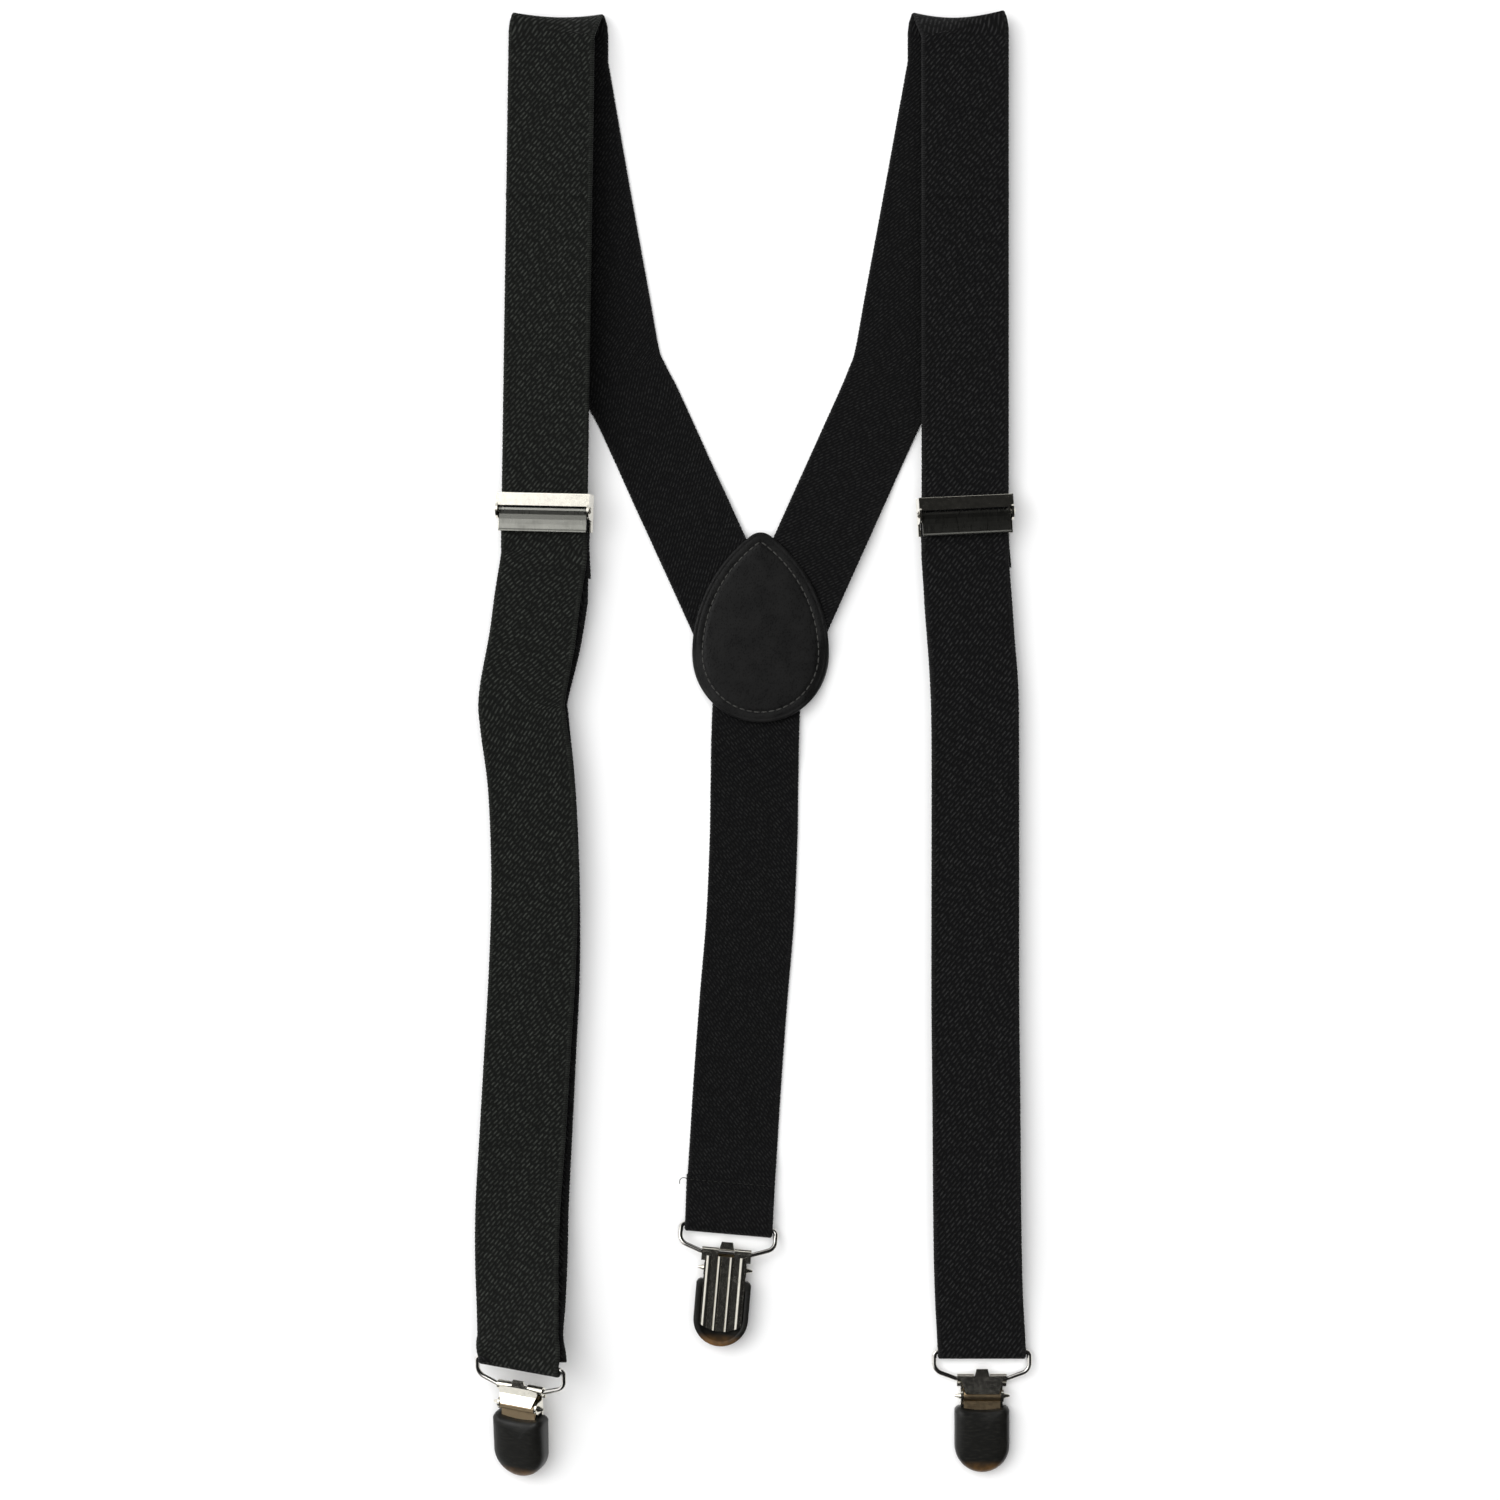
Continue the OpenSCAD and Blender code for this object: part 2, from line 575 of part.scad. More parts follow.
strap(shoulder_path(right_back_points, right_fold, right_front_points));  // right_shoulder_strap
front_strap(right_front_points, right_clip);  // right_front_strap
return_strap(right_return_points, right_adjuster, right_clip);  // right_return_strap
adjuster_hem(right_adjuster);  // right_adjuster_hem
hem_stitching(right_adjuster);  // right_hem_stitching
adjuster_frame(right_adjuster);  // right_adjuster_frame
adjuster_lever(right_adjuster);  // right_adjuster_lever
adjuster_rivets(right_adjuster);  // right_adjuster_rivets

wire_loop(left_clip);  // left_wire_loop
clip_plate(left_clip);  // left_clip_plate
clip_spring(left_clip);  // left_clip_spring
clip_pin(left_clip);  // left_clip_pin
clip_jaw(left_clip);  // left_clip_jaw
clip_boot(left_clip);  // left_clip_boot

wire_loop(right_clip);  // right_wire_loop
clip_plate(right_clip);  // right_clip_plate
clip_spring(right_clip);  // right_clip_spring
clip_pin(right_clip);  // right_clip_pin
clip_jaw(right_clip);  // right_clip_jaw
clip_boot(right_clip);  // right_clip_boot

wire_loop(back_clip);  // back_wire_loop
clip_plate(back_clip);  // back_clip_plate
clip_spring(back_clip);  // back_clip_spring
clip_pin(back_clip);  // back_clip_pin
clip_jaw(back_clip);  // back_clip_jaw
clip_boot(back_clip);  // back_clip_boot
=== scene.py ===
"""Suspenders laid flat: webbing, leather, stitching, wires and boots around the CAD frame."""

import json
import math

import bmesh
import bpy
import numpy as np
from mathutils import Matrix, Vector


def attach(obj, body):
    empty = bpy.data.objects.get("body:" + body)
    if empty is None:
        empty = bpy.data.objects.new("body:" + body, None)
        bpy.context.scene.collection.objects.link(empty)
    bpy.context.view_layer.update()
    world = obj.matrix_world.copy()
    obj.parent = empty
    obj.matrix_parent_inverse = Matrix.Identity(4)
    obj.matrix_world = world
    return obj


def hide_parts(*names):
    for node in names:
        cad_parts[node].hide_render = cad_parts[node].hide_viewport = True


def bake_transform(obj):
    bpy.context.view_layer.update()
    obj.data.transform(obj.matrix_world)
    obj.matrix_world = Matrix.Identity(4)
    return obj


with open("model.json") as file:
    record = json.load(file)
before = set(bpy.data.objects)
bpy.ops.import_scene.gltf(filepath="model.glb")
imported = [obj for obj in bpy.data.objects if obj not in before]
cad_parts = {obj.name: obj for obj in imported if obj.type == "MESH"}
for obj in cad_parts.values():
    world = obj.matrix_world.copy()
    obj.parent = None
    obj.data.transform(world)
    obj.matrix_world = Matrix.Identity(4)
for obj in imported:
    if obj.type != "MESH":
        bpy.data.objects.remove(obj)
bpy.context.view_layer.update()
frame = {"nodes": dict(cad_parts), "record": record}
joints = {j["name"]: j for j in frame["record"]["behaviour"]["joints"]}

MM = 0.001
WIDTH = 25.2     # webbing across its selvedges
THICK = 1.3      # webbing
TURN_R = 1.5     # webbing's middle round a wire
WIRE_R = 0.7
PIECES_PER_TURN = 24

# Strap points in millimetres: x, y, z, roll. They are the CAD source's.
BACK = [
    (1.5, 20, 1.9, 0), (1.0, 10, 1.9, 0), (0.8, 4, 1.9, 0), (0.7, 0, 1.75, 0),
    (0.6, -7, 0.9, 0), (0.5, -13, 0.68, 0), (0.3, -26, 0.65, 0), (-0.7, -49, 0.65, 0),
    (-2.6, -72, 0.65, 0), (-4.3, -95, 0.65, 0), (-5.3, -111, 0.66, 0), (-5.5, -114, 0.8, 0),
    (-5.8, -119, 1.9, 0), (-6.0, -122, 2.1, 0), (-6.3, -127, 2.35, 0), (-6.6, -133, 3.55, 0),
]
LEFT_BACK = [
    (-0.6, 27, 1.88, 0), (-11, 50, 1.88, 0), (-16.5, 62, 1.88, 0), (-18.3, 66, 1.8, 0),
    (-22, 74, 1.1, 0), (-24.7, 80, 0.75, 0), (-28.3, 88, 0.65, 0),
    (-32.9, 98, 0.65, 0), (-36.0, 104, 0.65, 0), (-38.9, 111, 0.65, 0),
    (-42.0, 128, 0.65, 0), (-47.8, 160, 0.65, 0), (-54.0, 196, 0.65, 0),
]
RIGHT_BACK = [
    (4.8, 27, 3.22, 0), (15.1, 50, 3.22, 0), (20.5, 62, 3.22, 0), (22.3, 66, 3.1, 0),
    (25.9, 74, 1.9, 0), (29.5, 82, 0.9, 0), (32.2, 88, 0.67, 0),
    (36.7, 98, 0.65, 0), (39.2, 104, 0.65, 0), (41.6, 111, 0.65, 0),
    (44.7, 128, 0.65, 0), (50.6, 160, 0.65, 0), (57.1, 196, 0.65, 0),
]
LEFT_FRONT = [
    (-59.5, 58, 8, 10), (-59.6, 54, 8, 10), (-61.4, 42.6, 8, 10), (-62.9, 31, 8, 9),
    (-65.7, 15, 8, 8), (-65.4, 7, 8, 8), (-63.3, -9, 8, 8), (-62.4, -26, 8, 8), (-62.2, -44, 8, 8),
    (-63.0, -66, 8, 8), (-64.3, -88, 8, 9), (-65.6, -110, 8, 10), (-66.9, -130, 8.2, 13),
    (-67.2, -145, 9.2, 16), (-66.9, -158, 11, 19), (-66.7, -167, 13, 21),
]
LEFT_RETURN = [
    (-61.6, 30, 3.5, 9), (-65.2, 15, 2.7, 8), (-64.9, 7, 2.7, 8), (-63.3, -9, 2.6, 8),
    (-62.3, -26, 2.6, 8), (-61.8, -44, 2.6, 8), (-61.9, -66, 2.6, 8), (-62.9, -88, 2.8, 9),
    (-63.9, -110, 3.1, 10),
    (-64.7, -130, 3.9, 13), (-64.8, -145, 5.2, 16), (-65.1, -158, 7.6, 19),
    (-65.4, -167, 10.2, 21),
]
RIGHT_FRONT = [
    (60.7, 58, 7.2, -6), (60.7, 54, 7.2, -6), (61.6, 42.6, 7.2, -6), (62.4, 31, 7.2, -6),
    (63.3, 19.7, 7.2, -6), (63.6, 8, 7.2, -5), (63.6, -30, 7.2, -4), (63.6, -72, 7.2, -3),
    (63.9, -101, 7.2, -2),
    (64.1, -130, 7.2, -1), (64.4, -147, 6.4, 0), (64.8, -158, 5.0, 0), (65.3, -166, 3.9, 0),
]
RIGHT_RETURN = [
    (63.2, 22, 2.4, -4), (63.8, 5, 1.7, -3), (63.9, -30, 1.3, -2), (63.9, -72, 1.0, -1),
    (64.2, -101, 0.65, 0), (64.4, -130, 0.65, 0), (64.6, -147, 0.65, 0),
    (65.0, -158, 0.65, 0), (65.4, -166, 0.65, 0),
]
# Shoulder fold: y of its turn, then the front's x, z and roll.
FOLDS = {"left": (204.8, -57.3, 8, 10), "right": (205.2, 60.7, 7.2, -6)}
# Adjuster: place, roll, turn, lean of the webbing's tail, length of the tail.
ADJUSTERS = {
    "left": ((-59.3, 67.4, 8), -10, -1.8, 5, 19.6),
    "right": ((60.7, 66.6, 7.2), 6, 3, 2, 15.9),
}
# Clip: pitch of the strap, of the loop and of the clip, then roll and turn.
CLIPS = {"left": (4, 20, 18, -22, -7), "right": (0, 0, 0, 0, 0), "back": (0, 21.2, 0, 180, -5)}


def turn(pitch, roll, yaw):
    r = math.radians
    return (
        Matrix.Rotation(r(yaw), 3, "Z")
        @ Matrix.Rotation(r(roll), 3, "Y")
        @ Matrix.Rotation(r(pitch), 3, "X")
    )


def hinge(name):
    return Vector(joints[name]["pos_m"]) * 1000


# ---------------------------------------------------------------- node materials

class Nodes:
    """Short names for building a node material."""

    def __init__(self, name):
        self.mat = bpy.data.materials.new(name)
        self.mat.use_nodes = True
        self.tree = self.mat.node_tree
        self.tree.nodes.clear()
        self.out = self.tree.nodes.new("ShaderNodeOutputMaterial")
        self.bsdf = self.tree.nodes.new("ShaderNodeBsdfPrincipled")
        self.tree.links.new(self.bsdf.outputs[0], self.out.inputs[0])

    def plug(self, value, socket):
        if isinstance(value, bpy.types.NodeSocket):
            self.tree.links.new(value, socket)
        else:
            socket.default_value = value

    def math(self, op, a, b=0.0, c=0.0):
        n = self.tree.nodes.new("ShaderNodeMath")
        n.operation = op
        for value, socket in zip((a, b, c), n.inputs):
            self.plug(value, socket)
        return n.outputs[0]

    def uv(self):
        n = self.tree.nodes.new("ShaderNodeUVMap")
        n.uv_map = "weave"
        s = self.tree.nodes.new("ShaderNodeSeparateXYZ")
        self.tree.links.new(n.outputs[0], s.inputs[0])
        return s.outputs[0], s.outputs[1], n.outputs[0]

    def object_coords(self):
        return self.tree.nodes.new("ShaderNodeTexCoord").outputs["Object"]

    def noise(self, vector, scale, detail=3.0, rough=0.55):
        n = self.tree.nodes.new("ShaderNodeTexNoise")
        self.tree.links.new(vector, n.inputs["Vector"])
        n.inputs["Scale"].default_value = scale
        n.inputs["Detail"].default_value = detail
        n.inputs["Roughness"].default_value = rough
        return n.outputs["Fac"]

    def voronoi(self, vector, scale):
        n = self.tree.nodes.new("ShaderNodeTexVoronoi")
        self.tree.links.new(vector, n.inputs["Vector"])
        n.inputs["Scale"].default_value = scale
        return n.outputs["Distance"]

    def scaled(self, vector, scale):
        n = self.tree.nodes.new("ShaderNodeMapping")
        self.tree.links.new(vector, n.inputs["Vector"])
        n.inputs["Scale"].default_value = scale
        return n.outputs[0]

    def step(self, value, low, high, to_low=0.0, to_high=1.0):
        n = self.tree.nodes.new("ShaderNodeMapRange")
        n.interpolation_type = "SMOOTHSTEP"
        for v, s in zip((value, low, high, to_low, to_high), n.inputs):
            self.plug(v, s)
        return n.outputs[0]

    def mix(self, fac, a, b):
        n = self.tree.nodes.new("ShaderNodeMix")
        n.data_type = "RGBA"
        self.plug(fac, n.inputs[0])
        for value, socket in ((a, n.inputs[6]), (b, n.inputs[7])):
            self.plug(value, socket)
        return n.outputs[2]

    def bump(self, height, distance, strength=1.0, normal=None):
        n = self.tree.nodes.new("ShaderNodeBump")
        n.inputs["Strength"].default_value = strength
        n.inputs["Distance"].default_value = distance
        self.tree.links.new(height, n.inputs["Height"])
        if normal is not None:
            self.tree.links.new(normal, n.inputs["Normal"])
        return n.outputs[0]

    def set(self, **sockets):
        for key, value in sockets.items():
            self.plug(value, self.bsdf.inputs[key.replace("_", " ")])
        return self.mat


def grey(v, tint=(1, 1, 1)):
    return (v * tint[0], v * tint[1], v * tint[2], 1)


def webbing(name, lean, pitch, fleck, ground):
    """Black elastic twill: short raised floats on slanting lines, plain ribs at the selvedges."""
    m = Nodes(name)
    u, v, flat = m.uv()
    line = m.math("DIVIDE", m.math("ADD", u, m.math("MULTIPLY", v, lean)), pitch)
    wobble = m.math("MULTIPLY", m.math("SUBTRACT", m.noise(flat, 0.09, 2), 0.5), 0.5)
    line = m.math("ADD", line, wobble)
    row = m.math("FLOOR", line)
    across = m.math("FRACT", line)
    ridge = m.math("SUBTRACT", 1, m.math("ABSOLUTE", m.math("MULTIPLY_ADD", across, 2, -1)))
    shuffled = m.math("SINE", m.math("MULTIPLY", row, 12.9898))
    chance = m.math("FRACT", m.math("MULTIPLY", shuffled, 437.5))
    slant = m.math("SUBTRACT", v, m.math("MULTIPLY", u, lean))
    run = m.math("ADD", m.math("DIVIDE", slant, pitch * 2.3), chance)
    run = m.math("ADD", run, m.math("MULTIPLY", m.noise(flat, 0.8, 2), 0.9))
    along = m.math("FRACT", run)
    dash = m.math("SUBTRACT", 1, m.math("ABSOLUTE", m.math("MULTIPLY_ADD", along, 2, -1)))
    float_ = m.math("MULTIPLY", m.step(ridge, 0.25, 0.9), m.step(dash, 0.15, 0.6, 0.12, 1))
    edge = m.step(m.math("ABSOLUTE", u), 11.3, 11.8)
    rib = m.math("ABSOLUTE", m.math("SINE", m.math("MULTIPLY", v, math.pi / 0.62)))
    height = m.math("ADD", m.math("MULTIPLY", float_, m.math("SUBTRACT", 1, edge)),
                    m.math("MULTIPLY", m.math("MULTIPLY", rib, 0.6), edge))
    patchy = m.step(m.noise(flat, 0.35, 4), 0.36, 0.68, 0.35, 1.0)
    lint = m.step(m.noise(m.scaled(flat, (2.6, 0.7, 1)), 1.3, 4), 0.66, 0.8)
    colour = m.mix(m.math("MULTIPLY", height, patchy), ground, fleck)
    colour = m.mix(m.math("MULTIPLY", lint, 0.25), colour, grey(fleck[1] * 1.6))
    fibre = m.noise(m.scaled(flat, (1, 3, 1)), 4.0, 3)
    bump = m.bump(m.math("MULTIPLY_ADD", fibre, 0.25, height), 0.00032, 0.9)
    rough = m.step(height, 0.0, 1.0, 0.95, 0.72)
    return m.set(Base_Color=colour, Roughness=rough, Normal=bump, Specular_IOR_Level=0.14,
                 Sheen_Weight=0.02, Sheen_Roughness=0.5)


def leather(name):
    """Black grained leather, darker and smoother in random blotches."""
    m = Nodes(name)
    p = m.object_coords()
    cells = m.voronoi(p, 1500)
    fine = m.noise(p, 3200, 3)
    blotch = m.noise(p, 180, 3)
    colour = m.mix(m.step(blotch, 0.35, 0.7), grey(0.003), grey(0.006, (1, 0.99, 0.96)))
    colour = m.mix(m.step(cells, 0.25, 0.5, 0, 0.5), colour, grey(0.011))
    height = m.math("MULTIPLY_ADD", fine, 0.3, m.step(cells, 0.0, 0.45, 1, 0))
    rough = m.step(blotch, 0.3, 0.7, 0.36, 0.52)
    return m.set(Base_Color=colour, Roughness=rough, Normal=m.bump(height, 0.00009, 0.6),
                 Specular_IOR_Level=0.17)


def thread(name, base):
    """Twisted sewing thread."""
    m = Nodes(name)
    p = m.object_coords()
    ply = m.noise(p, 5200, 2)
    warm = (1, 1, 0.93)
    colour = m.mix(m.step(ply, 0.35, 0.65), grey(base * 0.5, warm), grey(base * 1.7, warm))
    return m.set(Base_Color=colour, Roughness=0.75, Normal=m.bump(ply, 0.00012, 0.8),
                 Specular_IOR_Level=0.3)


def nickel(name, colour, low, high, brush=(1, 1, 1), depth=0.000002):
    """Plated sheet metal with fine brush lines and a little tarnish."""
    m = Nodes(name)
    p = m.object_coords()
    lines = m.noise(m.scaled(p, brush), 900, 4, 0.6)
    tarnish = m.noise(p, 260, 4)
    dull = tuple(c * 0.62 for c in colour[:3]) + (1,)
    base = m.mix(m.step(tarnish, 0.52, 0.8, 0, 0.5), colour, dull)
    rough = m.math("ADD", m.step(lines, 0.3, 0.7, low, high),
                   m.step(tarnish, 0.5, 0.8, 0, 0.06))
    return m.set(Base_Color=base, Roughness=rough, Metallic=1.0,
                 Normal=m.bump(lines, depth, 0.08))


def boot_plastic(name):
    """Moulded black plastic, shinier at the tip, with a painted warm highlight there."""
    m = Nodes(name)
    u, v, flat = m.uv()
    grain = m.noise(flat, 3.2, 3)
    scuff = m.noise(m.scaled(flat, (0.35, 1.8, 1)), 1.1, 5)
    blotch = m.step(m.noise(flat, 0.3, 2), 0.3, 0.6, 0.45, 1)
    # tip: mask of the painted warm highlight at the boot's rounded end, made patchy by noise.
    tip = m.math("MULTIPLY", m.step(v, -22.8, -26.4), blotch)
    colour = m.mix(m.step(scuff, 0.45, 0.75), grey(0.007, (1, 1, 0.9)),
                   grey(0.015, (1, 0.98, 0.84)))
    # Mixes the painted highlight's warm brown into the colour at the tip.
    colour = m.mix(tip, colour, (0.15, 0.08, 0.03, 1))
    rough = m.math("SUBTRACT", m.step(scuff, 0.3, 0.8, 0.36, 0.5),
                   m.math("MULTIPLY", tip, 0.12))
    return m.set(Base_Color=colour, Roughness=rough, Normal=m.bump(grain, 0.00004, 0.4),
                 Specular_IOR_Level=0.3)


TWILL_LEAN = 0.86
# The left front is a lighter copy of the same webbing as the right: painted light for the strap on
# the bright left side.
WEB_FRONT_LEFT_LIT = webbing("webbing_front_left_lit", TWILL_LEAN, 1.35,
                         (0.036, 0.039, 0.034, 1), (0.005, 0.0054, 0.0048, 1))
WEB_FRONT_RIGHT = webbing("webbing_front_right", TWILL_LEAN, 1.35,
                          (0.024, 0.024, 0.024, 1), (0.0042, 0.0042, 0.0044, 1))
WEB_BACK = webbing("webbing_back", -TWILL_LEAN, 1.1,
                   (0.017, 0.017, 0.017, 1), (0.004, 0.004, 0.0042, 1))
LEATHER = leather("black_leather")
PATCH_THREAD = thread("patch_thread", 0.045)
BLACK_THREAD = thread("black_thread", 0.012)
NICKEL = nickel("nickel_plate", (0.8, 0.77, 0.68, 1), 0.14, 0.24)
BRUSHED = nickel("brushed_nickel", (0.21, 0.21, 0.19, 1), 0.26, 0.4,
                 brush=(6, 0.4, 0.4), depth=0.000006)
WIRE = nickel("nickel_wire", (0.8, 0.78, 0.74, 1), 0.12, 0.22)
GOLD = nickel("warm_nickel", (0.72, 0.55, 0.34, 1), 0.3, 0.42)
BOOT = boot_plastic("boot_plastic")


# ---------------------------------------------------------------- mesh tools

def mesh_object(name, verts, faces, material, uvs=None, smooth=True):
    mesh = bpy.data.meshes.new(name)
    mesh.from_pydata([tuple(v) for v in verts], [], faces)
    mesh.validate()
    if uvs is not None:
        layer = mesh.uv_layers.new(name="weave")
        index = np.zeros(len(mesh.loops), np.int32)
        mesh.loops.foreach_get("vertex_index", index)
        layer.data.foreach_set("uv", np.asarray(uvs, np.float32)[index].ravel())
    mesh.polygons.foreach_set("use_smooth", [smooth] * len(mesh.polygons))
    mesh.materials.append(material)
    obj = bpy.data.objects.new(name, mesh)
    bpy.context.scene.collection.objects.link(obj)
    return obj


def curve(points, steps=12):
    """Smooth curve through points, the same one as the CAD's."""
    p = np.asarray(points, float)
    out = []
    for i in range(len(p) - 1):
        a, b, c, d = p[max(i - 1, 0)], p[i], p[i + 1], p[min(i + 2, len(p) - 1)]
        for k in range(steps):
            t = k / steps
            out.append((2 * b + (c - a) * t + (2 * a - 5 * b + 4 * c - d) * t * t
                        + (3 * b - a - 3 * c + d) * t ** 3) / 2)
    out.append(p[-1])
    return out


def bar_turn(side):
    """Half a turn of webbing round the upper wire of a clip's loop."""
    strap, _, _, roll, yaw = CLIPS[side]
    r = turn(strap, 0 if roll == 180 else roll, yaw)
    up, along = np.array(r @ Vector((0, 0, 1))), np.array(r @ Vector((0, 1, 0)))
    centre = np.array(hinge(side + "_loop_hinge"))
    across = r @ Vector((1, 0, 0))
    out = []
    for k in range(PIECES_PER_TURN + 1):
        a = math.pi * k / PIECES_PER_TURN
        p = centre + TURN_R * (math.cos(a) * up - math.sin(a) * along)
        out.append(np.append(p, (0, *across)))
    return out


def shoulder(back, side, front):
    """From the patch up to the shoulder, over its fold and down to the front's first point."""
    y, x, z, roll = FOLDS[side]
    path = curve(back)
    start = path[-1]
    r = (z - start[2]) / 2
    for k in range(PIECES_PER_TURN + 1):
        t = k / PIECES_PER_TURN
        a = math.pi * (t - 0.5)
        path.append(np.array([start[0] + (x - start[0]) * t, y + r * math.cos(a),
                              start[2] + r + r * math.sin(a), roll * t]))
    path.append(np.array([(x + front[0][0]) / 2, (y + front[0][1]) / 2, z, roll]))
    return path


def resample(path, gap):
    """Rows of x, y, z, roll and the given side vector at even spacing, and their distances."""
    p = np.array([(*q[:4], *(q[4:7] if len(q) > 4 else (0, 0, 0))) for q in path], float)
    length = np.concatenate([[0], np.cumsum(np.linalg.norm(np.diff(p[:, :3], axis=0), axis=1))])
    keep = np.concatenate([[True], np.diff(length) > 1e-6])
    p, length = p[keep], length[keep]
    n = max(int(length[-1] / gap), 2)
    s = np.linspace(0, length[-1], n + 1)
    return np.stack([np.interp(s, length, p[:, k]) for k in range(7)], 1), s


def ribbon(name, path, material, start=0.0, creases=(), gap=0.45):
    """A woven strap along a path: rounded selvedges that show the weft's loops, and slight waves."""
    p, s = resample(path, gap)
    c = p[:, :3]
    t = np.gradient(c, axis=0)
    even = np.ones(5) / 5
    t = np.stack([np.convolve(np.pad(t[:, k], 2, "edge"), even, "valid") for k in range(3)], 1)
    t /= np.linalg.norm(t, axis=1)[:, None]
    r = np.radians(p[:, 3])
    w = np.array([1.0, 0, 0]) - t[:, :1] * t
    w[:, 2] = 0
    w /= np.linalg.norm(w, axis=1)[:, None]
    w = np.cos(r)[:, None] * w + np.stack([0 * r, 0 * r, np.sin(r)], 1)
    given = np.linalg.norm(p[:, 4:7], axis=1)[:, None].clip(0, 1)
    w = w * (1 - given) + p[:, 4:7]
    w /= np.linalg.norm(w, axis=1)[:, None]
    n = np.cross(w, t)
    n /= np.linalg.norm(n, axis=1)[:, None]
    across = np.concatenate([np.linspace(-1, -0.9, 5), np.linspace(-0.84, 0.84, 15),
                             np.linspace(0.9, 1, 5)])
    rounding = (np.abs(across) - 0.955).clip(0) / 0.045
    high = np.sqrt(np.clip(1 - rounding ** 2, 0, 1))
    high = high * (1 + 0.06 * np.exp(-((np.abs(across) - 0.93) / 0.02) ** 2))
    loops = 0.13 * np.abs(np.sin(math.pi * (s + start) / 1.24)) - 0.09
    ring = list(zip(across, high)) + list(zip(across[::-1], -high[::-1]))[1:-1]
    verts, uvs = [], []
    dip = np.zeros(len(s))
    for y, depth in creases:
        dip += depth * np.exp(-((c[:, 1] - y) / 0.9) ** 2) * (c[:, 2] > 5)
    for a, h in ring:
        half = (WIDTH / 2 + loops * (abs(a) > 0.93)) * a
        verts.append(c + w * half[:, None] + n * (h * THICK / 2 - dip)[:, None])
        uvs.append(np.stack([np.full(len(s), a * WIDTH / 2), s + start], 1))
    m, k = len(s), len(ring)
    verts = np.stack(verts, 1).reshape(-1, 3) * MM
    uvs = np.stack(uvs, 1).reshape(-1, 2)
    faces = [(i * k + j, i * k + (j + 1) % k, (i + 1) * k + (j + 1) % k, (i + 1) * k + j)
             for i in range(m - 1) for j in range(k)]
    faces += [tuple(range(k))[::-1], tuple((m - 1) * k + j for j in range(k))]
    obj = mesh_object(name, verts, faces, material, uvs)
    fix_normals(obj)
    return obj, s[-1]


def fix_normals(obj):
    """Turns every face outwards."""
    b = bmesh.new()
    b.from_mesh(obj.data)
    bmesh.ops.recalc_face_normals(b, faces=b.faces)
    b.to_mesh(obj.data)
    b.free()


def tube(name, points, radius, material, closed=False, sides=14):
    """A round wire or thread through points, in millimetres."""
    p = np.asarray(points, float)
    n = len(p)
    verts, faces = [], []
    up = np.array([0, 0, 1.0])
    for i in range(n):
        if closed:
            a, b = p[i - 1], p[(i + 1) % n]
        else:
            a, b = p[max(i - 1, 0)], p[min(i + 1, n - 1)]
        t = (b - a) / np.linalg.norm(b - a)
        side = np.cross(t, up) if abs(t @ up) < 0.95 else np.cross(t, [1, 0, 0])
        side /= np.linalg.norm(side)
        out = np.cross(side, t)
        r = radius[i] if np.ndim(radius) else radius
        for k in range(sides):
            q = 2 * math.pi * k / sides
            verts.append((p[i] + r * (math.cos(q) * side + math.sin(q) * out)) * MM)
    for i in range(n if closed else n - 1):
        for k in range(sides):
            j, h = (i + 1) % n, (k + 1) % sides
            faces.append((i * sides + k, i * sides + h, j * sides + h, j * sides + k))
    if not closed:
        faces += [tuple(range(sides)), tuple((n - 1) * sides + k for k in range(sides))[::-1]]
    obj = mesh_object(name, verts, faces, material, [(0, 0)] * len(verts))
    fix_normals(obj)
    return obj


def joined(name, objs):
    """One object made of several."""
    bpy.ops.object.select_all(action="DESELECT")
    for o in objs:
        o.select_set(True)
    bpy.context.view_layer.objects.active = objs[0]
    bpy.ops.object.join()
    objs[0].name = name
    objs[0].data.name = name
    return objs[0]


def stitch(at, along, length, radius, material, sag=0.12):
    """One stitch: a short thread that dives into the cloth at both ends."""
    along = np.asarray(along, float)
    along = along / np.linalg.norm(along)
    points, radii = [], []
    for k in range(7):
        q = k / 6 * 2 - 1
        dive = np.array([0, 0, -sag * q * q * 2])
        points.append(np.asarray(at) + along * q * length / 2 + dive)
        radii.append(radius * (1 - 0.45 * q ** 4))
    return tube("stitch", points, radii, material, sides=8)


# ---------------------------------------------------------------- straps

def hem_path(side):
    """Webbing that comes up behind the adjuster, goes round its bar and ends in a sewn tail."""
    at, roll, yaw, lean, tail = ADJUSTERS[side]
    r = turn(0, roll, yaw)
    turn_y, turn_r, bar_z, bend_y = -3.9, 1.1, -2.45, -7
    flat = [(-23.5, -3.55), (bend_y, -3.55)]
    flat += [(turn_y + turn_r * math.cos(a), bar_z + turn_r * math.sin(a))
             for a in np.linspace(-math.pi / 2, math.pi / 2, 17)]
    flat += [(-6, -1.35), (-9, -2.2), (-tail, -2.2)]
    out = []
    for y, z in flat:
        shift = max(bend_y - y, 0) * math.tan(math.radians(lean)) if z > -3 else 0
        q = Vector(at) + r @ Vector((shift, y, z))
        out.append(np.array([q[0], q[1], q[2], -roll]))
    return out


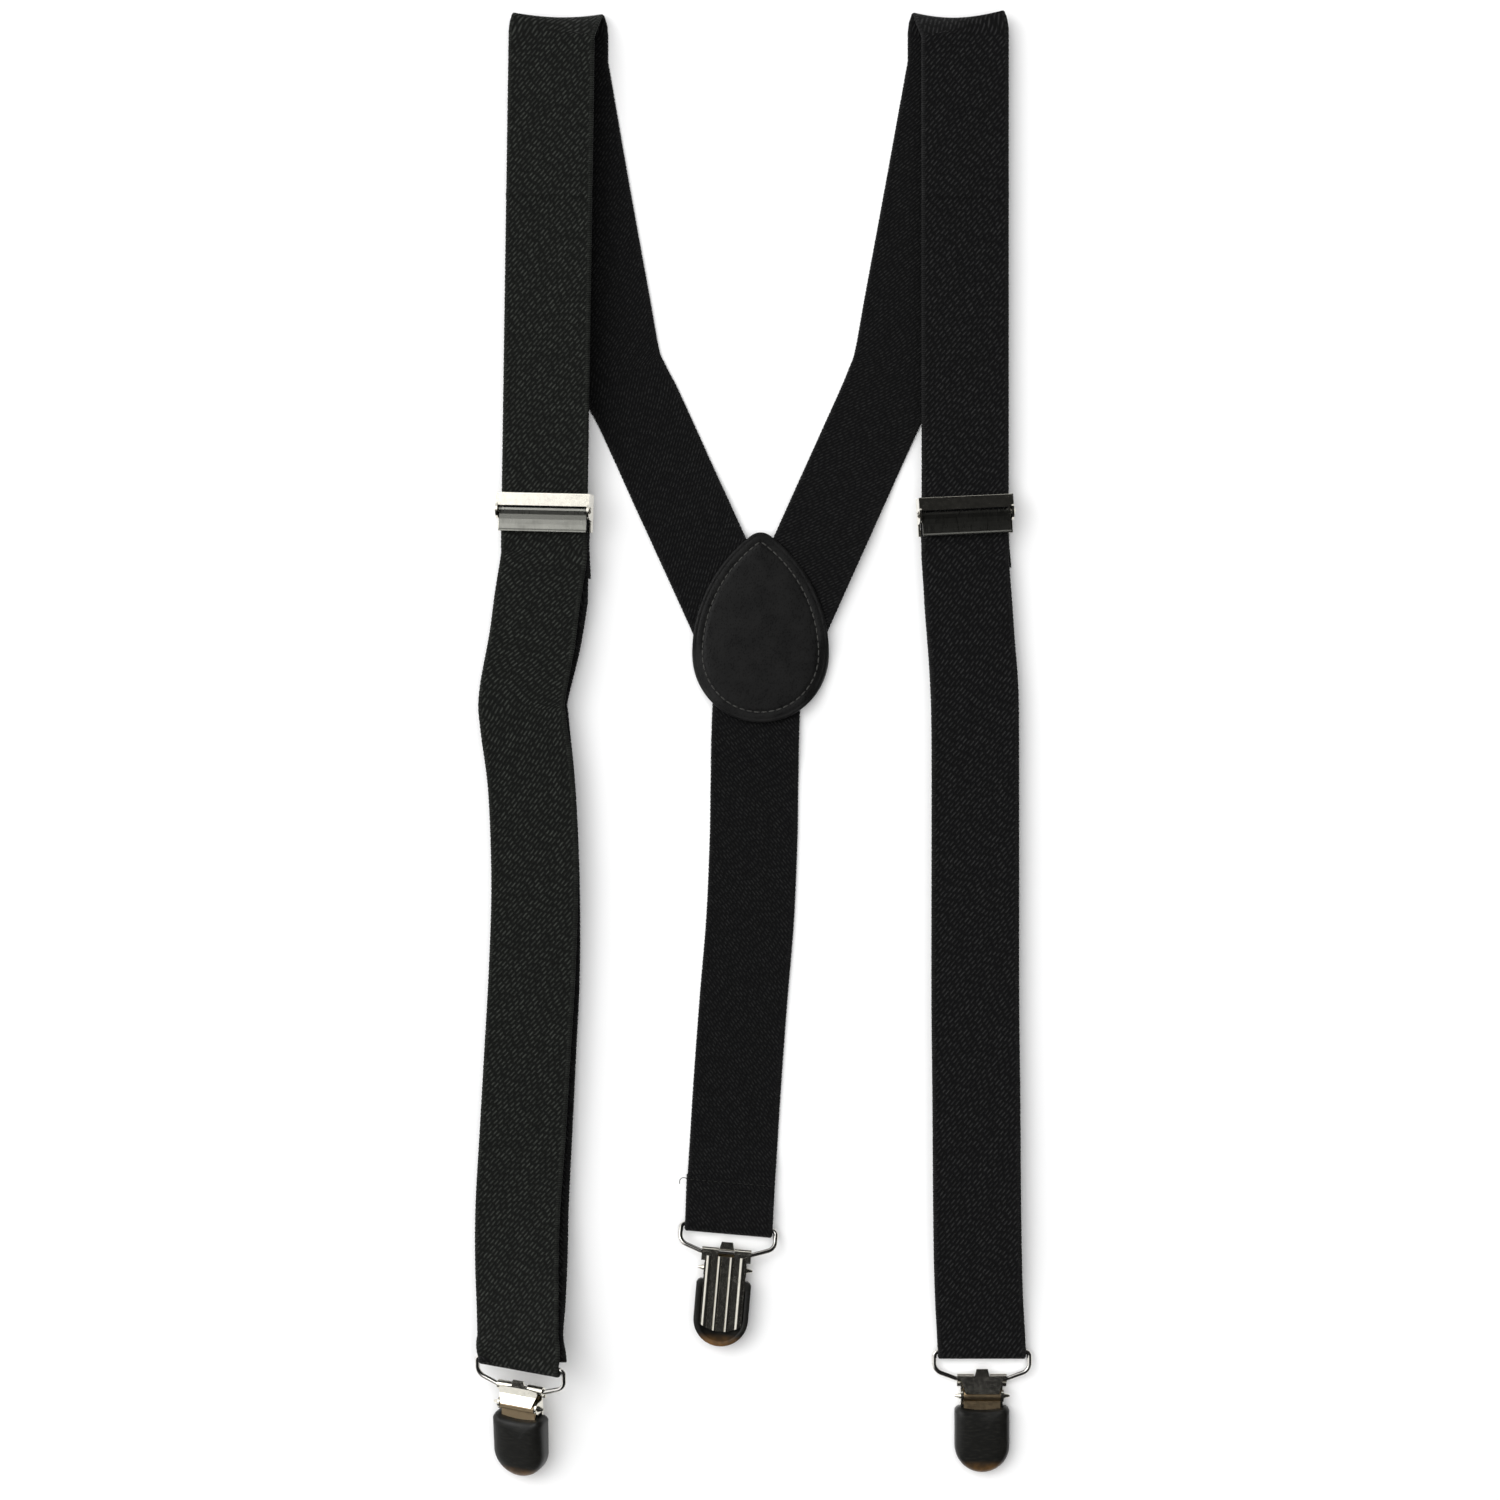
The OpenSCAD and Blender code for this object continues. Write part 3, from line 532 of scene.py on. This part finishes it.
for side, back, front, back_look, front_look in (
    ("left", LEFT_BACK, LEFT_FRONT, WEB_BACK, WEB_FRONT_LEFT_LIT),
    ("right", RIGHT_BACK, RIGHT_FRONT, WEB_BACK, WEB_FRONT_RIGHT),
):
    over = shoulder(back, side, front)
    whole = over + curve(front) + bar_turn(side)
    obj, length = ribbon(side + "_webbing", whole, front_look, creases=((158, 0.45),))
    obj.data.materials.append(back_look)
    x, y, z = np.array([p.center[:] for p in obj.data.polygons]).T
    is_back = ((z < 0.0042) & (np.abs(x) < 0.0735) & (y > 0.02)
               & (y < FOLDS[side][0] * MM + 0.01))
    obj.data.polygons.foreach_set("material_index", is_back.astype(np.int32))
    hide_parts(side + "_shoulder_strap", side + "_front_strap")
    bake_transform(obj)

    hem = hem_path(side)
    points = LEFT_RETURN if side == "left" else RIGHT_RETURN
    below = hem[0] + (hem[0] - hem[1]) * 0.12
    under = bar_turn(side)[-1][:4]
    up = curve([under, *[np.array(p, float) for p in reversed(points)], below, hem[0]])
    return_, length = ribbon(side + "_return", up, WEB_FRONT_RIGHT)
    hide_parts(side + "_return_strap")
    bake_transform(return_)

    loop, length = ribbon(side + "_hem", hem, WEB_FRONT_RIGHT, gap=0.3)
    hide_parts(side + "_adjuster_hem")
    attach(loop, side + "_adjuster")

hem_end = [np.array([-6.6, -131, 0.65, 0]), np.array([-6.3, -122.5, 0.65, 0])]
obj, length = ribbon("back_webbing", curve(BACK) + bar_turn("back") + hem_end, WEB_BACK)
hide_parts("back_strap")
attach(obj, "shoulders")

# ---------------------------------------------------------------- patch

PATCH = np.array([2.3, 27.0])
PATCH_R, SIDE_R, TIP_R = 19.6, 42.5, 4.5
OFF = SIDE_R - PATCH_R
TIP_Y = math.sqrt((SIDE_R - TIP_R) ** 2 - OFF ** 2)
SWEEP = math.acos(OFF / (SIDE_R - TIP_R))
RIM = 4.2          # width of the band round the leather that is shaped by its profile
SEAM_INSET = 3.0
SEAM_STITCHES = 60


def outline(inset, count=64):
    """Right half from the foot to the tip, then the left half back down: one ring of points."""
    low, side, tip = PATCH_R - inset, SIDE_R - inset, max(TIP_R - inset, 0.05)
    half = []
    for k in range(count + 1):
        t = k / count
        if t < 0.42:
            a = -math.pi / 2 + math.pi / 2 * t / 0.42
            half.append((low * math.cos(a), low * math.sin(a)))
        elif t < 0.88:
            a = SWEEP * (t - 0.42) / 0.46
            half.append((side * math.cos(a) - OFF, side * math.sin(a)))
        else:
            a = SWEEP + (math.pi / 2 - SWEEP) * (t - 0.88) / 0.12
            half.append((tip * math.cos(a), TIP_Y + tip * math.sin(a)))
    return np.array(half + [(-x, y) for x, y in half[-2:0:-1]])


def sink(y, inset):
    """How far the leather's rim is pressed down where no strap lies under it."""
    up = 1 / (1 + math.exp(-(y - 15.5) / 1.2)) / (1 + math.exp((y - 28.5) / 1.3))
    return 2.5 * up * max(0, 1 - inset / RIM) ** 1.6


def leather_layer(name, profile, dome, press):
    """A teardrop of leather whose rim follows a profile of inset and height."""
    rings = []
    for inset, z in profile:
        ring = outline(inset)
        rings.append([(x + PATCH[0], y + PATCH[1],
                       z - (sink(y + PATCH[1], inset) if press else 0)) for x, y in ring])
    inner, last = outline(RIM), profile[-1][1]
    centre = np.array([0, 6.0])
    for share in (0.85, 0.68, 0.5, 0.32, 0.15):
        height = last + dome * (1 - share ** 2)
        rings.append([(x + PATCH[0], y + PATCH[1], height)
                      for x, y in centre + (inner - centre) * share])
    n = len(rings[0])
    verts = np.array(sum(rings, []) + [(*(PATCH + centre), last + dome)])
    faces = [(i * n + j, i * n + (j + 1) % n, (i + 1) * n + (j + 1) % n, (i + 1) * n + j)
             for i in range(len(rings) - 1) for j in range(n)]
    top = len(verts) - 1
    faces += [((len(rings) - 1) * n + j, (len(rings) - 1) * n + (j + 1) % n, top) for j in range(n)]
    faces += [tuple(range(n))[::-1]]
    obj = mesh_object(name, verts * MM, faces, LEATHER, [(0, 0)] * len(verts))
    fix_normals(obj)
    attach(obj, "shoulders")
    return obj


front_patch = leather_layer(
    "patch_front_leather",
    [(1.2, 3.95), (0.3, 3.97), (0.02, 4.15), (0.0, 4.5), (0.02, 4.85), (0.18, 5.05), (0.5, 5.14),
     (0.8, 5.14), (1.0, 5.06), (1.2, 5.14), (1.7, 5.2), (2.4, 5.2), (2.75, 5.1), (3.0, 5.03),
     (3.25, 5.1), (3.6, 5.22), (RIM, 5.27)], 0.35, True)
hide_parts("patch_front")
back_patch = leather_layer(
    "patch_back_leather",
    [(0.4, 0.0), (0.1, 0.08), (0.0, 0.3), (0.0, 0.9), (0.1, 1.1), (0.4, 1.2), (RIM, 1.2)],
    0.0, False)
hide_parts("patch_back")

seam = outline(SEAM_INSET, 400)
seam = np.vstack([seam, seam[:1]])
seam_len = np.concatenate([[0], np.cumsum(np.linalg.norm(np.diff(seam, axis=0), axis=1))])


def on_seam(distance):
    """Point of the patch's seam at a distance along it."""
    return np.array([np.interp(distance, seam_len, seam[:, k]) for k in range(2)])


stitches = []
for k in range(SEAM_STITCHES):
    s = seam_len[-1] * (k + 0.5) / SEAM_STITCHES
    x, y = on_seam(s) + PATCH
    along = on_seam(s + 0.3) - on_seam(s - 0.3)
    at = (x, y, 5.17 - sink(y, SEAM_INSET))
    stitches.append(stitch(at, (*along, 0), 1.65, 0.2, PATCH_THREAD))
seam_obj = joined("patch_seam", stitches)
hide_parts("patch_stitching")
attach(seam_obj, "shoulders")

row = []
hem_turn = turn(0, 0, CLIPS["back"][4])
for k in range(14):
    x = (k - 6.5) * 1.72
    at = Vector((-6.1, -124.4, 0)) + hem_turn @ Vector((x, 0, 0))
    along = tuple(hem_turn @ Vector((1, 0.05 * (-1) ** k, 0)))
    row.append(stitch((at[0], at[1], 3.05), along, 1.25, 0.17, BLACK_THREAD))
fray = [(-18.2, -123.4, 2.9), (-19.0, -123.0, 3.2), (-20.0, -122.9, 3.1), (-20.8, -123.6, 2.2),
        (-20.9, -124.8, 1.2)]
row.append(tube("fray", curve(fray, 6), 0.11, BLACK_THREAD, sides=8))
back_row = joined("back_hem_seam", row)
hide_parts("back_hem_stitching")
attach(back_row, "shoulders")

# ---------------------------------------------------------------- clips

def arc(x, y, r, a, b, n=14):
    """Points of an arc from angle a to b, in the clip's plane."""
    return [(x + r * math.cos(math.radians(q)), y + r * math.sin(math.radians(q)), 0)
            for q in np.linspace(a, b, n)]


def loop_points():
    """The wire loop's centre line: straight upper wire, rounded hips, narrow lower wire."""
    reach, hip, toe, hip_r, toe_r = 7.75, 10.65, 7.2, 3.0, 1.5
    hip_sweep = 70
    sweep = math.radians(hip_sweep)
    rise = ((hip - toe) * math.cos(sweep) + hip_r - toe_r) / math.sin(sweep)
    right = arc(12.3, -1.35, 1.35, 90, 0) + arc(hip, toe_r - reach + rise, hip_r, 0, -hip_sweep)
    right += arc(toe, toe_r - reach, toe_r, -hip_sweep, -90)
    return right + [(-x, y, z) for x, y, z in reversed(right)]


def boot_ring(inset, z, slope):
    """Outline of the boot: round tip, straight sides, chamfered shoulders, bowed mouth."""
    r, reach, mouth, chamfer = 7.85, 26.7, -7.75, 1.1
    mid = r - reach
    q = r - inset
    top = mouth - inset
    flat = q - chamfer
    tip = [(q * math.cos(a), mid + q * math.sin(a)) for a in np.linspace(-math.pi, 0, 36)]
    right = [(q, y) for y in np.linspace(mid, top - chamfer, 12)[1:]]
    right += [(q - 0.4, top - 0.45), (flat, top)]
    bow = [(x, top - 0.9 * (1 - (x / flat) ** 2) * slope)
           for x in np.linspace(flat, -flat, 15)[1:-1]]
    out = []
    for x, y in tip + right + bow + [(-x, y) for x, y in reversed(right)]:
        lift = (y + reach) / (reach + mouth)
        out.append((x, y, z * (0.69 + 0.31 * lift) if z > 1 else z))
    return out


def boot(side, place):
    """A boot with a domed top and small grip ridges inside, put in place by a function."""
    levels = [(1.55, -0.86), (1.55, -1.5), (1.4, -1.6), (0.25, -1.6), (0.05, -1.45),
              (0.0, -1.0), (0.0, 1.0), (0.03, 1.9), (0.2, 2.9), (0.55, 3.6), (1.1, 4.15),
              (1.9, 4.5), (3.0, 4.7), (4.4, 4.8), (5.8, 4.82)]
    rings = [boot_ring(i, z, 1.0 if z > 1.5 else 0.0) for i, z in levels]
    n = len(rings[0])
    verts = [Vector(p) for ring in rings for p in ring]
    faces = [(i * n + j, i * n + (j + 1) % n, (i + 1) * n + (j + 1) % n, (i + 1) * n + j)
             for i in range(len(rings) - 1) for j in range(n)]
    faces += [tuple(range(n)), tuple((len(rings) - 1) * n + j for j in range(n))[::-1]]
    for k in range(6):
        y, a, b = -10.5 - 2 * k, 5.0, -0.86
        base = len(verts)
        for x in (-a, a):
            verts += [Vector((x, y - 0.5, b)), Vector((x, y + 0.5, b)), Vector((x, y, -1.08))]
        faces += [(base, base + 1, base + 2), (base + 3, base + 5, base + 4),
                  (base, base + 2, base + 5, base + 3), (base + 1, base + 4, base + 5, base + 2)]
    uvs = [(v[0], v[1]) for v in verts]
    world = [tuple(place(v) * MM) for v in verts]
    obj = mesh_object(side + "_boot", world, faces, BOOT, uvs)
    fix_normals(obj)
    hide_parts(side + "_clip_boot")
    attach(obj, side + "_jaw")


for side, (_, loop_pitch, clip_pitch, roll, yaw) in CLIPS.items():
    r_loop, r_clip = turn(loop_pitch, roll, yaw), turn(clip_pitch, roll, yaw)
    upper, lower = hinge(side + "_loop_hinge"), hinge(side + "_clip_hinge")
    points = [upper + r_loop @ Vector(p) for p in loop_points()]
    dense = []
    for i, p in enumerate(points):
        nxt = points[(i + 1) % len(points)]
        steps = max(1, int((nxt - p).length / 1.2))
        dense += [tuple(p + (nxt - p) * k / steps) for k in range(steps)]
    wire = tube(side + "_wire", dense, WIRE_R, WIRE, closed=True, sides=18)
    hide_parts(side + "_wire_loop")
    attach(wire, side + "_loop")
    boot(side, lambda v, lower=lower, r=r_clip: lower + r @ v)

for name, obj in ((n, bpy.data.objects.get(n)) for n in frame["nodes"]):
    if obj is None or obj.hide_render:
        continue
    if "stitching" in name:
        look = BLACK_THREAD
    elif "clip_jaw" in name:
        look = GOLD
    elif "adjuster_lever" in name:
        look = BRUSHED
    else:
        look = NICKEL
    obj.data.materials.clear()
    obj.data.materials.append(look)

# ---------------------------------------------------------------- floor, light and camera

floor_mat = Nodes("floor")
paper = floor_mat.noise(floor_mat.object_coords(), 40, 2)
floor_mat.set(Base_Color=floor_mat.mix(paper, grey(0.93), grey(0.95)), Roughness=0.9,
              Specular_IOR_Level=0.1)
FLOOR_HALF, FLOOR_Z = 8, -0.0002
corners = [(x * FLOOR_HALF, y * FLOOR_HALF, FLOOR_Z)
           for x, y in ((-1, -1), (1, -1), (1, 1), (-1, 1))]
floor = mesh_object("floor", corners, [(0, 1, 2, 3)], floor_mat.mat)

world = bpy.data.worlds.new("studio")
bpy.context.scene.world = world
world.use_nodes = True
wt = world.node_tree
bg = wt.nodes["Background"]
coord = wt.nodes.new("ShaderNodeTexCoord")
split = wt.nodes.new("ShaderNodeSeparateXYZ")
wt.links.new(coord.outputs["Generated"], split.inputs[0])
ramp = wt.nodes.new("ShaderNodeMapRange")
ramp.interpolation_type = "SMOOTHSTEP"
GLOW_START, GLOW_FULL, DARK, WHITE = 0.06, 0.36, 0.016, 1.0
for value, socket in zip((GLOW_START, GLOW_FULL, DARK, WHITE), ramp.inputs[1:5]):
    socket.default_value = value


def world_math(op, *values):
    n = wt.nodes.new("ShaderNodeMath")
    n.operation = op
    for value, socket in zip(values, n.inputs):
        if isinstance(value, bpy.types.NodeSocket):
            wt.links.new(value, socket)
        else:
            socket.default_value = value
    return n.outputs[0]


# A white wall on the left and a low white strip behind the folds; the rest of the studio is dark.
strip = world_math("MULTIPLY", world_math("GREATER_THAN", split.outputs[1], 0.93), 0.6)
glow = world_math("MULTIPLY_ADD", split.outputs[0], -1.0, strip)
glow = world_math("MULTIPLY_ADD", world_math("MINIMUM", split.outputs[1], 0.0), 1.2, glow)
wt.links.new(glow, ramp.inputs[0])
wt.links.new(ramp.outputs[0], bg.inputs[0])
bg.inputs[1].default_value = 1.0

# The overhead lamp lights the cloth and the floor but isn't mirrored in flat metal.
for name, at, size, power, mirrored in (
    ("key", (-1.1, 0.5, 1.3), 0.9, 7, True),
    ("overhead", (-0.1, 0.1, 1.9), 2.2, 42, False),
):
    data = bpy.data.lights.new(name, "AREA")
    data.shape, data.size, data.energy = "SQUARE", size, power
    lamp = bpy.data.objects.new(name, data)
    lamp.location = at
    lamp.rotation_euler = (Vector((0, 0, 0)) - Vector(at)).to_track_quat("-Z", "Y").to_euler()
    lamp.visible_glossy = mirrored
    bpy.context.scene.collection.objects.link(lamp)

CAMERA_HEIGHT = 1.3
FRAME_WIDTH = 0.4305    # of the table that the camera sees
camera = bpy.data.cameras.new("camera")
camera.lens = camera.sensor_width * CAMERA_HEIGHT / FRAME_WIDTH
camera.clip_end = 20
view = bpy.data.objects.new("camera", camera)
view.location = (-0.00072, -0.00043, CAMERA_HEIGHT)
bpy.context.scene.collection.objects.link(view)
bpy.context.scene.camera = view
bpy.context.scene.view_settings.view_transform = "Standard"
